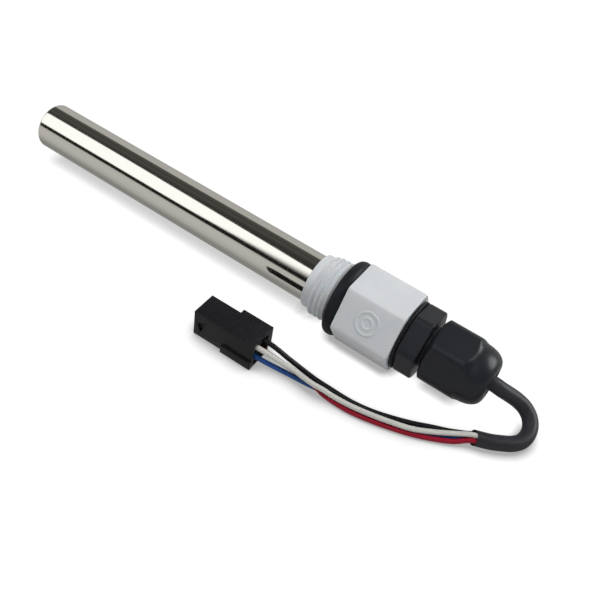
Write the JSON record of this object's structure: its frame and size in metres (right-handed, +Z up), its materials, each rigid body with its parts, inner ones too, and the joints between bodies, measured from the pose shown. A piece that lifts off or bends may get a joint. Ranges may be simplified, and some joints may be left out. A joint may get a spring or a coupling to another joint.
{
  "type": "optical level sensor",
  "caption": "Optical liquid level sensor: long stainless probe tube with a prism tip, hexagonal screw plug with sealing ring, cable gland, and wires to a small connector.",
  "frame": {"origin": "middle of the rigid parts' length and width, on the floor under the screw plug's sealing ring", "axes": "+X along the probe's axis from the prism tip towards the gland and cable, +Z up, -Y towards the connector's side"},
  "size_m": [0.2015, 0.0485, 0.0257],
  "materials": {
    "steel": "polished stainless steel, fine marks along the tube",
    "plug_grey": "light grey moulded plastic, satin",
    "nylon": "black nylon, lightly grained",
    "rubber": "black nitrile rubber",
    "clear": "clear moulded polymer",
    "holder": "black moulded plastic",
    "lens": "tinted clear epoxy",
    "lens_dark": "dark clear epoxy",
    "board": "green board laminate",
    "chip": "black epoxy body",
    "ceramic": "tan ceramic",
    "can": "bare can",
    "contact": "tinned brass",
    "jacket": "black vinyl sheath",
    "sleeve_black": "black vinyl",
    "sleeve_white": "white vinyl",
    "sleeve_blue": "blue vinyl",
    "sleeve_red": "red vinyl"
  },
  "bodies": {
    "sensor": {"probe_tube": "steel", "prism_tip": "clear", "prism_seal": "rubber", "optics_holder": "holder", "infrared_emitter": "lens", "phototransistor": "lens_dark", "circuit_board": "board", "board_ring": "holder", "comparator_chip": "chip", "output_transistor": "chip", "voltage_regulator": "chip", "protection_diode": "chip", "resistor_1": "chip", "resistor_2": "chip", "resistor_3": "chip", "resistor_4": "chip", "ceramic_capacitor_1": "ceramic", "ceramic_capacitor_2": "ceramic", "filter_capacitor": "can", "inner_lead_black": "sleeve_black", "inner_lead_white": "sleeve_white", "inner_lead_blue": "sleeve_blue", "inner_lead_red": "sleeve_red", "tube_bung": "rubber", "screw_plug": "plug_grey", "tube_seal": "rubber", "plug_seal": "rubber", "gland_washer": "rubber", "gland_base": "nylon", "cable_jacket": "jacket", "wire_black": "sleeve_black", "wire_white": "sleeve_white", "wire_blue": "sleeve_blue", "wire_red": "sleeve_red", "connector_housing": "nylon", "terminal_black": "contact", "terminal_white": "contact", "terminal_blue": "contact", "terminal_red": "contact"},
    "gland_clamp": {"seal_insert": "rubber"},
    "clamping_nut": {"gland_nut": "nylon"}
  },
  "joints": [
    {"name": "nut_travel", "type": "slide", "parent": "sensor", "child": "gland_clamp", "axis": [1, 0, 0], "range_m": [0, 0.0015]},
    {"name": "nut_turn", "type": "hinge", "parent": "gland_clamp", "child": "clamping_nut", "pos_m": [0.07121, 0, 0.01285], "axis": [1, 0, 0], "range_deg": [0, 360]}
  ],
  "couplings": [
    {"joint": "nut_travel", "follows": "nut_turn", "m_per_rad": 0.00023873}
  ]
}
